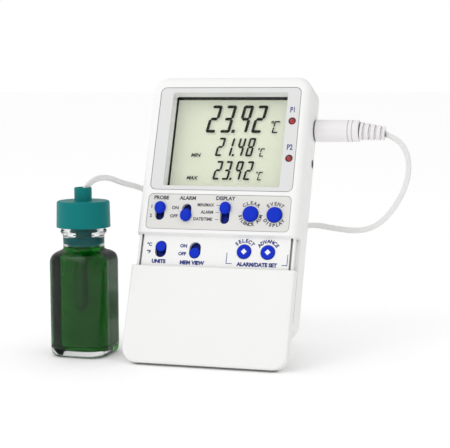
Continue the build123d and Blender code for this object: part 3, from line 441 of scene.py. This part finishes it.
# Control points in the table frame: from the cap's stub to the coil, and from the plug to the coil.
BOTTLE_ROUTE = [
    (-57.6, 18.2, 68.2),
    (-56.95, 18.4, 70.3),
    (-55.9, 18.9, 72.1),
    (-54.6, 20.1, 73.6),
    (-53.3, 22.8, 74.6),
    (-51.9, 26.9, 74.8),
    (-50.6, 31.5, 74.1),
    (-49.2, 36.5, 72.5),
    (-47.7, 42.0, 70.9),
    (-45.2, 48.6, 69.4),
    (-42.6, 57.0, 66.4),
    (-40.6, 68.0, 58.4),
    (-39.8, 78.0, 45.4),
    (-40.0, 86.0, 29.4),
    (-41.0, 93.4, 13.8),
    (-41.2, 103.0, 4.6),
]
PLUG_ROUTE = [
    (65.0, 51.2, 93.05),
    (70.0, 51.2, 90.9),
    (73.2, 51.0, 87.0),
    (74.7, 51.0, 82.3),
    (74.9, 51.0, 77.6),
    (73.8, 51.0, 72.0),
    (71.4, 51.0, 66.4),
    (67.9, 51.0, 60.8),
    (63.9, 51.2, 56.4),
    (58.9, 52.2, 53.2),
    (52.3, 55.0, 51.5),
    (42.7, 60.0, 51.6),
    (29.4, 67.6, 52.6),
    (18.6, 80.0, 48.6),
    (11.0, 91.0, 36.6),
    (6.6, 98.2, 20.4),
    (2.4, 103.6, 9.4),
]

COIL_CENTRE = (-20.0, 112.0)
COIL_RADII = [19.5, 18.1, 16.7, 15.3, 13.9, 12.5, 11.2]
COIL_LAYERS = 4
COIL_FIRST_LAYER = 1.45  # height of its middle above the table
COIL_LAYER_STEP = 2.5
COIL_STEPS = 14  # control points in one turn
LAST_RADIUS = 20.4  # of the half turn that leaves the top layer over the outside
LAST_DROP = 0.16  # that it comes down at each point


def coil_point(radius, wander, step, height, tilt):
    """A control point on a clockwise turn, a little oval by wander and leaning by tilt."""
    angle = math.pi - 2 * math.pi * step / COIL_STEPS
    return (
        COIL_CENTRE[0] + (radius + wander) * math.cos(angle),
        COIL_CENTRE[1] + (radius - wander) * math.sin(angle),
        height + tilt * math.sin(angle),
    )


def coil_route():
    """Clockwise turns wound side by side and in layers, each with its own small wander."""
    rng = random.Random(11)
    points = []
    turns = []
    for layer in range(COIL_LAYERS):
        row = COIL_RADII if layer % 2 == 0 else list(reversed(COIL_RADII))
        turns += [(radius, COIL_FIRST_LAYER + layer * COIL_LAYER_STEP) for radius in row]
    for radius, height in turns:
        wander = rng.uniform(-0.2, 0.2)
        tilt = rng.uniform(-0.14, 0.14)
        points += [coil_point(radius, wander, k, height, tilt) for k in range(COIL_STEPS)]
    top = turns[-1][1]
    points += [coil_point(LAST_RADIUS, 0, k, top - LAST_DROP * k, 0) for k in range(COIL_STEPS // 2)]
    return points


def route_points(points):
    """Points along the NURBS line that has these control points, in metres in the row frame."""
    curve = bpy.data.curves.new("lead_route", "CURVE")
    curve.dimensions = "3D"
    curve.resolution_u = 6
    spline = curve.splines.new("NURBS")
    spline.points.add(len(points) - 1)
    for point, co in zip(spline.points, points):
        co = table_point(*co)
        point.co = (co.x, co.y, co.z, 1.0)
    spline.order_u = 3
    spline.use_endpoint_u = True
    holder = bpy.data.objects.new("lead_route", curve)
    bpy.context.collection.objects.link(holder)
    mesh = bpy.data.meshes.new_from_object(holder)
    line = [v.co.copy() for v in mesh.vertices]
    bpy.data.objects.remove(holder)
    bpy.data.curves.remove(curve)
    bpy.data.meshes.remove(mesh)
    return line


def twin_section():
    """Outline of a flat twin lead: two round cores side by side with a groove between them."""
    outline = []
    half = (CORD_WIDE / 2 - CORD_CORE) * MM  # from the groove to a core's centre
    radius = CORD_CORE * MM
    arc_steps = 8
    for side in (1, -1):
        for k in range(arc_steps + 1):
            angle = math.radians(-120 + 240 * k / arc_steps)
            outline.append((side * (half + radius * math.cos(angle)), side * radius * math.sin(angle)))
    return outline


def lead_mesh(name, line, middle, wide):
    """Twin lead swept along the line; its wide side points along wide at the line's middle index."""
    section = twin_section()
    count = len(line)
    sides = [None] * count

    def tangent(i):
        return (line[min(count - 1, i + 1)] - line[max(0, i - 1)]).normalized()

    t = tangent(middle)
    sides[middle] = (wide - t * wide.dot(t)).normalized()
    for order in (range(middle + 1, count), range(middle - 1, -1, -1)):
        previous = sides[middle]
        for i in order:
            t = tangent(i)
            previous = (previous - t * previous.dot(t)).normalized()
            sides[i] = previous
    bm = bmesh.new()
    rings = []
    for i, here in enumerate(line):
        side = sides[i]
        normal = tangent(i).cross(side).normalized()
        rings.append([bm.verts.new(here + side * u + normal * w) for u, w in section])
    size = len(section)
    for ring, following in zip(rings, rings[1:]):
        for k in range(size):
            bm.faces.new((ring[k], ring[(k + 1) % size], following[(k + 1) % size], following[k]))
    bm.faces.new(rings[0])
    bm.faces.new(list(reversed(rings[-1])))
    return mesh_object(name, bm)


lead_line = route_points(BOTTLE_ROUTE + coil_route() + list(reversed(PLUG_ROUTE)))
lead = lead_mesh("probe_lead", lead_line, len(lead_line) // 2, Vector((0, 0, 1)))
finish_piece(lead, CORD_WHITE, None)
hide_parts("cord_bottle_run", "cord_coil", "cord_plug_run")
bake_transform(lead)

# ---------------------------------------------------------------- lettering and display
CAPITAL = 0.7  # a capital's height as a share of the typeface's size
LETTER_DEEP = 0.012  # half a letter's or a printed line's thickness


def text_mesh(text, height, thick, width, slant):
    """Letters as a flat mesh centred on the origin, capital height in millimetres."""
    curve = bpy.data.curves.new("letters", "FONT")
    curve.body = text
    curve.size = height / CAPITAL * MM
    curve.align_x = "CENTER"
    curve.align_y = "CENTER"
    curve.offset = thick * MM
    curve.shear = slant
    curve.extrude = LETTER_DEEP * MM
    curve.resolution_u = 3
    holder = bpy.data.objects.new("letters", curve)
    bpy.context.collection.objects.link(holder)
    mesh = bpy.data.meshes.new_from_object(holder)
    bpy.data.objects.remove(holder)
    bpy.data.curves.remove(curve)
    mesh.transform(Matrix.Diagonal((width, 1, 1, 1)))
    return mesh


def letters(bm, text, x, height, size, out, thick=0.06, width=1.0, slant=0.0, turn=0.0):
    """Adds printed text centred at a place on the face. thick widens the strokes, width the letters."""
    mesh = text_mesh(text, size, thick, width, slant)
    mesh.transform(on_face(x, height, out) @ Matrix.Rotation(turn, 4, "Z"))
    bm.from_mesh(mesh)
    bpy.data.meshes.remove(mesh)


def arc_letters(bm, text, x, height, radius, size, out, spacing, top=True, thick=0.06):
    """Text bent round a centre, over it or under it, with the letters spacing degrees apart."""
    count = len(text)
    for k, letter in enumerate(text):
        if letter == " ":
            continue
        offset = (k - (count - 1) / 2) * spacing
        if top:
            angle = math.radians(90 - offset)
            turn = angle - math.pi / 2
        else:
            angle = math.radians(-90 + offset)
            turn = angle + math.pi / 2
        letter_x = x + radius * math.cos(angle)
        letter_height = height + radius * math.sin(angle)
        letters(bm, letter, letter_x, letter_height, size, out, thick, turn=turn)


def bar(bm, x0, h0, x1, h1, width, out):
    """A straight printed line."""
    a = Vector((x0, h0))
    b = Vector((x1, h1))
    d = (b - a).normalized()
    n = Vector((-d.y, d.x)) * width / 2
    corners = [a + n, b + n, b - n, a - n]
    low = [face_point(c.x, c.y, out - LETTER_DEEP) for c in corners]
    high = [face_point(c.x, c.y, out + LETTER_DEEP) for c in corners]
    prism(bm, low, high)


OVER = -0.05 + 0.03  # the overlay and the bezel under the case's face, and the ink on them
grey = bmesh.new()
for text, x, height, size, thick, width in (
    ("PROBE", -25.3, 55.3, 1.55, 0.08, 1.0),
    ("ALARM", -13.6, 55.3, 1.55, 0.08, 1.0),
    ("DISPLAY", 2.8, 55.5, 1.55, 0.08, 1.0),
    ("1", -29.2, 51.4, 1.35, 0.06, 1.0),
    ("2", -29.2, 47.4, 1.35, 0.06, 1.0),
    ("ON", -18.7, 51.0, 1.35, 0.06, 1.0),
    ("OFF", -19.0, 47.4, 1.35, 0.06, 1.0),
    ("MIN/MAX", -5.6, 52.5, 1.3, 0.06, 0.9),
    ("ALARM", -4.6, 49.4, 1.3, 0.06, 0.9),
    ("DATE/TIME", -6.2, 46.4, 1.3, 0.06, 0.9),
):
    letters(grey, text, x, height, size, OVER, thick=thick, width=width)
for height in (52.5, 49.4, 46.4):
    bar(grey, -0.9, height, 0.7, height, 0.18, OVER)
arc_letters(grey, "CLEAR", 14.2, 49.1, 4.7, 1.45, OVER, 19.5)
arc_letters(grey, "EVENT", 24.4, 49.0, 4.7, 1.45, OVER, 19.5)
arc_letters(grey, "SILENCE ALM", 14.2, 49.1, 4.5, 1.3, OVER, 15.5, top=False, thick=0.09)
arc_letters(grey, "DISPLAY", 24.4, 49.0, 4.55, 1.35, OVER, 18.5, top=False, thick=0.08)
finish_piece(mesh_object("panel_legends", grey), INK_GREY, "meter", smooth=False)

LOW = -2.2 + 0.02  # the stepped lower panel, and the ink on it
LOWER_KEYS = 33.6  # height of the two lower buttons' centres
blue = bmesh.new()
for text, x, height, size, thick in (
    ("°C", -29.0, 35.4, 1.35, 0.1),
    ("°F", -29.0, 32.2, 1.35, 0.1),
    ("UNITS", -24.2, 28.3, 1.5, 0.14),
    ("ON", -13.9, 35.2, 1.35, 0.1),
    ("OFF", -14.2, 31.8, 1.35, 0.1),
    ("MEM VIEW", -9.6, 28.1, 1.55, 0.14),
):
    letters(blue, text, x, height, size, LOW, thick=thick)
arc_letters(blue, "SELECT", 12.4, LOWER_KEYS, 4.6, 1.45, LOW, 18.5, thick=0.1)
arc_letters(blue, "ADVANCE", 22.5, LOWER_KEYS, 4.6, 1.45, LOW, 17.5, thick=0.1)
letters(blue, "ALARM/DATE SET", 18.3, 28.2, 1.55, LOW, thick=0.14, width=0.97)
# the bracket round the two buttons' shared legend
for x0, height0, x1, height1 in (
    (5.2, 33.0, 5.2, 28.4),
    (5.1, 28.4, 7.6, 28.4),
    (31.0, 33.0, 31.0, 28.4),
    (31.1, 28.4, 28.8, 28.4),
):
    bar(blue, x0, height0, x1, height1, 0.28, LOW)
letters(blue, "P1", 28.0, 94.5, 2.3, OVER, thick=0.07, width=0.72)
letters(blue, "P2", 28.1, 78.1, 2.3, OVER, thick=0.07, width=0.76)
finish_piece(mesh_object("blue_legends", blue), INK_BLUE, "meter", smooth=False)

SEGMENTS_OUT = -8.3  # behind the case's face, just off the cell's front
UPRIGHT_PROUD = 0.004  # upright bars stand this much over the level ones, so that no faces coincide
SHEAR = math.tan(math.radians(10.5))  # slant of the digits
DIGITS = {"1": "bc", "2": "abged", "3": "abgcd", "4": "fgbc", "8": "abcdefg", "9": "abcfg", "C": "aefd"}


def capsule(x0, y0, x1, y1, cut):
    """Bar with cut corners."""
    return [
        (x0 + cut, y0),
        (x1 - cut, y0),
        (x1, y0 + cut),
        (x1, y1 - cut),
        (x1 - cut, y1),
        (x0 + cut, y1),
        (x0, y1 - cut),
        (x0, y0 + cut),
    ]


def segment_shapes(w, h, t):
    """Seven bars of a digit w wide and h high, its strokes t thick and its lower left corner at the origin."""
    m = h / 2
    k = 0.22 * t  # gap left at a bar's end
    cut = 0.32 * t
    return {
        "a": capsule(k, h - t, w - k, h, cut),
        "d": capsule(k, 0, w - k, t, cut),
        "b": capsule(w - t, m + k, w, h - k, cut),
        "c": capsule(w - t, k, w, m - k, cut),
        "f": capsule(0, m + k, t, h - k, cut),
        "e": capsule(0, k, t, m - k, cut),
        "g": capsule(0.6 * t, m - t / 2, w - 0.6 * t, m + t / 2, cut),
    }


def flat_shape(bm, corners, x, height, out):
    """A slanted bar of the display, 0.03 mm thick."""
    low = [face_point(x + u + v * SHEAR, height + v, out - 0.03) for u, v in corners]
    high = [face_point(x + u + v * SHEAR, height + v, out) for u, v in corners]
    prism(bm, low, high)


def digit(bm, symbol, x, height, w, h, t):
    shapes = segment_shapes(w, h, t)
    for key in DIGITS[symbol]:
        flat_shape(bm, shapes[key], x, height, SEGMENTS_OUT + (UPRIGHT_PROUD if key in "bcfe" else 0.0))


def ring_shape(bm, x, height, r, t):
    """A degree sign: a flat ring of outer radius r, t wide."""
    count = 20
    inner = []
    outer = []
    for k in range(count):
        a = 2 * math.pi * k / count
        for store, radius in ((inner, r - t), (outer, r)):
            point = face_point(x + radius * math.cos(a), height + radius * math.sin(a), SEGMENTS_OUT)
            store.append(bm.verts.new(point))
    for k in range(count):
        n = (k + 1) % count
        bm.faces.new((inner[k], outer[k], outer[n], inner[n]))


DX = -2.45  # the display's places below, moved onto the face
DH = 2.2 - LOWER_END
ROWS = [
    # digits, their lower left corners, their base, width, height, stroke, and the same for the unit's letter
    ("2392", (-9.6, -3.2, 4.4, 10.7), 99.6, 4.5, 12.4, 1.28, (18.7, 99.6, 2.6, 5.4, 0.62)),
    ("2148", (-4.3, -0.2, 4.8, 9.1), 89.1, 2.95, 8.3, 0.88, (14.2, 89.1, 1.85, 3.7, 0.5)),
    ("2392", (-4.3, -0.2, 4.8, 9.2), 78.6, 2.95, 8.4, 0.88, (14.3, 78.6, 1.85, 3.8, 0.5)),
]
lcd = bmesh.new()
for symbols, starts, base, w, h, t, (unit_x, unit_base, unit_w, unit_h, unit_t) in ROWS:
    for symbol, start in zip(symbols, starts):
        digit(lcd, symbol, start + DX, base + DH, w, h, t)
    dot = t * 1.1
    dot_x = starts[1] + w + t * 0.55
    flat_shape(lcd, [(0, 0), (dot, 0), (dot, dot), (0, dot)], dot_x + DX, base + DH, SEGMENTS_OUT)
    digit(lcd, "C", unit_x + 1.1 + DX, unit_base + DH, unit_w, unit_h, unit_t)
    degree_x = unit_x + DX + 0.25 + unit_h * SHEAR
    ring_shape(lcd, degree_x, unit_base + DH + unit_h * 0.9, unit_w * 0.24, unit_t * 0.7)
letters(lcd, "MIN", -12.8 + DX, 89.4 + DH, 1.45, SEGMENTS_OUT, thick=0.08, width=1.1, slant=0.2)
letters(lcd, "MAX", -13.4 + DX, 79.2 + DH, 1.45, SEGMENTS_OUT, thick=0.08, width=1.05, slant=0.2)
finish_piece(mesh_object("lcd_segments", lcd), SEGMENT, "meter", smooth=False)

# white diamonds on the two lower buttons
DIAMOND = [(-1.25, 0), (0, -1.25), (1.25, 0), (0, 1.25)]
for button, x in (("select_key", 12.4), ("advance_key", 22.5)):
    bm = bmesh.new()
    low = [face_point(x + u, LOWER_KEYS + v, -1.76) for u, v in DIAMOND]
    high = [face_point(x + u, LOWER_KEYS + v, -1.71) for u, v in DIAMOND]
    prism(bm, low, high)
    name = "diamond_" + button.split("_")[0]
    finish_piece(mesh_object(name, bm), INK_WHITE, button, smooth=False)

# ---------------------------------------------------------------- bottle
BOTTLE = table_point(-58.0, 18.4, 0)
AROUND = 96  # points in one ring
HALVINGS = 40


def squircle(half, corner):
    """Outline of a square with rounded corners, evenly spread by angle. Each point is found by halving
    the stretch that the outline crosses."""
    points = []
    flat = half - corner
    for k in range(AROUND):
        angle = 2 * math.pi * k / AROUND
        d = Vector((math.cos(angle), math.sin(angle)))
        low = 0.0
        high = half * 1.5
        for _ in range(HALVINGS):
            mid = (low + high) / 2
            p = d * mid
            past_x = max(abs(p.x) - flat, 0)
            past_y = max(abs(p.y) - flat, 0)
            if math.hypot(past_x, past_y) <= corner and abs(p.x) <= half and abs(p.y) <= half:
                low = mid
            else:
                high = mid
        points.append(d * low)
    return points


def stacked(name, profile, closed=True):
    """Rings of (half width, corner radius, height) joined in turn, with the first and last filled in if
    closed. A corner radius equal to the half width is a circle."""
    bm = bmesh.new()
    rings = []
    for half, corner, height in profile:
        outline = squircle(half, min(corner, half))
        rings.append([bm.verts.new(BOTTLE + Vector((p.x, p.y, height)) * MM) for p in outline])
    for ring, following in zip(rings, rings[1:]):
        for k in range(AROUND):
            n = (k + 1) % AROUND
            bm.faces.new((ring[k], ring[n], following[n], following[k]))
    if closed:
        bm.faces.new(list(reversed(rings[0])))
        bm.faces.new(rings[-1])
    return mesh_object(name, bm)


def circles(*pairs):
    """Round rings from pairs of a radius and a height."""
    return [(radius, radius, height) for radius, height in pairs]


HALF = 12.7  # half the side of the square body
FOOT = 2.4  # radius of the edge under it
outside = [(0.6, 0.6, 0.75), (4.0, 2.5, 0.7), (7.6, 4.2, 0.25)]
for k, degrees in enumerate((-90, -60, -30)):
    a = math.radians(degrees)
    outside.append((HALF - FOOT + FOOT * math.cos(a), 6.4 + 0.3 * k, FOOT + FOOT * math.sin(a)))
outside += [(HALF, 7.0, 3.4), (HALF, 7.0, 20.0), (HALF, 7.0, 39.0)]
outside += [(12.68, 7.0, 40.0), (12.58, 7.1, 41.0), (12.36, 7.25, 41.9), (12.0, 7.45, 42.7), (11.5, 7.7, 43.35)]
outside += [(10.9, 8.0, 43.85), (10.25, 8.3, 44.2), (9.6, 8.5, 44.5), (9.1, 8.75, 44.85), (8.8, 8.8, 45.3)]
outside += circles((8.7, 46.2), (8.75, 47.2), (8.8, 50.6), (9.0, 51.4), (9.7, 51.9), (9.8, 52.6), (9.6, 53.3))
outside += circles((8.9, 53.7), (8.9, 63.3), (8.6, 63.6))
bore = circles((7.1, 63.6), (6.9, 63.2), (6.9, 50.0), (6.95, 46.4), (7.2, 45.0))
# inside of the glass from under the neck down to its bottom, which the liquid fills
inside = [(7.7, 7.2, 43.9), (8.6, 6.9, 43.2), (9.4, 6.5, 42.6), (10.1, 6.1, 41.8), (10.6, 5.8, 40.8)]
inside += [(10.95, 5.5, 39.5), (11.0, 5.4, 38.0), (11.0, 5.4, 20.0), (11.0, 5.4, 5.4), (10.6, 5.3, 3.9)]
inside += [(9.4, 5.0, 3.0), (6.0, 3.6, 2.5)]
BOTTOM = 2.7  # height of the middle of its bottom
bottle = stacked("bottle_glass", outside + bore + inside + [(0.6, 0.6, BOTTOM)])
finish_piece(bottle, GLASS, "meter")
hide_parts("glass_bottle")

# the liquid reaches a hair into the glass, so that no film of air shows between them
WET = 0.04
wet = [(0.6, 0.6, BOTTOM - WET)]
wet += [(half + WET, corner, z - (WET if z < 5 else 0)) for half, corner, z in reversed(inside)]
wet += circles((7.2 + WET, 45.0), (6.98, 46.3), (6.7, 45.9), (5.0, 45.6), (2.9, 45.55), (2.56, 45.9))
wet += circles((2.48, 45.7), (2.48, 21.5), (2.15, 20.2), (1.2, 19.3), (0.3, 19.05))  # round the probe
liquid = stacked("glycol_fill", wet)
finish_piece(liquid, GLYCOL, "meter")
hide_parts("glycol")

# stopper pressed into the neck, wet against the glass, bored for the probe
stopper_rings = circles((2.55, 46.5), (6.5, 46.5), (6.93, 46.9), (6.98, 50.1), (6.4, 50.5))
stopper_rings += circles((3.6, 50.6), (3.2, 53.9), (2.55, 53.9))
stopper = stacked("neck_stopper", stopper_rings, closed=False)
finish_piece(stopper, TEAL_DARK, "meter")
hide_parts("cap_stopper")

# ---------------------------------------------------------------- stage
REACH = 9.0  # metres from the middle of the floor to its edge
bm = bmesh.new()
corners = ((-REACH, -REACH), (REACH, -REACH), (REACH, REACH), (-REACH, REACH))
bm.faces.new([bm.verts.new((x, y, 0)) for x, y in corners])
floor = mesh_object("floor", bm)
floor_material = grain("floor_pale", srgb(253, 253, 253), 0.8, scale=200, bump=0.02, vary=0.003)
glow(floor_material, (1, 1, 1, 1), 0.08)
floor.data.materials.append(floor_material)

# The studio is brightest to the upper left and front, plain white where the camera sees it, and a
# little dimmer where it is seen as a gloss.
world = bpy.data.worlds.new("studio")
bpy.context.scene.world = world
world.use_nodes = True
sky = world.node_tree
background = sky.nodes["Background"]
background.inputs["Color"].default_value = (1, 1, 1, 1)
coords = sky.nodes.new("ShaderNodeTexCoord")
toward = sky.nodes.new("ShaderNodeVectorMath")
toward.operation = "DOT_PRODUCT"
toward.inputs[1].default_value = (-0.75, -0.35, 0.45)
slope = sky.nodes.new("ShaderNodeMapRange")
slope.inputs["From Min"].default_value = -1.0
slope.inputs["From Max"].default_value = 1.0
slope.inputs["To Min"].default_value = 0.55
slope.inputs["To Max"].default_value = 1.15
path = sky.nodes.new("ShaderNodeLightPath")
gloss_dim = sky.nodes.new("ShaderNodeMapRange")
gloss_dim.inputs["To Min"].default_value = 1.0
gloss_dim.inputs["To Max"].default_value = 0.75
scaled = sky.nodes.new("ShaderNodeMath")
scaled.operation = "MULTIPLY"
choose = sky.nodes.new("ShaderNodeMix")
choose.inputs["B"].default_value = 1.0
sky.links.new(coords.outputs["Generated"], toward.inputs[0])
sky.links.new(toward.outputs["Value"], slope.inputs["Value"])
sky.links.new(path.outputs["Is Glossy Ray"], gloss_dim.inputs["Value"])
sky.links.new(slope.outputs["Result"], scaled.inputs[0])
sky.links.new(gloss_dim.outputs["Result"], scaled.inputs[1])
sky.links.new(scaled.outputs["Value"], choose.inputs["A"])
sky.links.new(path.outputs["Is Camera Ray"], choose.inputs["Factor"])
sky.links.new(choose.outputs["Result"], background.inputs["Strength"])


# one soft key light, in metres and watts
key_data = bpy.data.lights.new("key", "AREA")
key_data.shape = "RECTANGLE"
key_data.size = 0.5
key_data.size_y = 0.5
key_data.energy = 1.3
key = bpy.data.objects.new("key", key_data)
bpy.context.collection.objects.link(key)
key_place = Vector((-0.45, -0.75, 0.9))
key_aim = Vector((0, 0, 0.05))
key_turn = (key_aim - key_place).to_track_quat("-Z", "Y").to_matrix().to_4x4()
key.matrix_world = Matrix.Translation(key_place) @ key_turn
bpy.context.scene.view_settings.view_transform = "Standard"
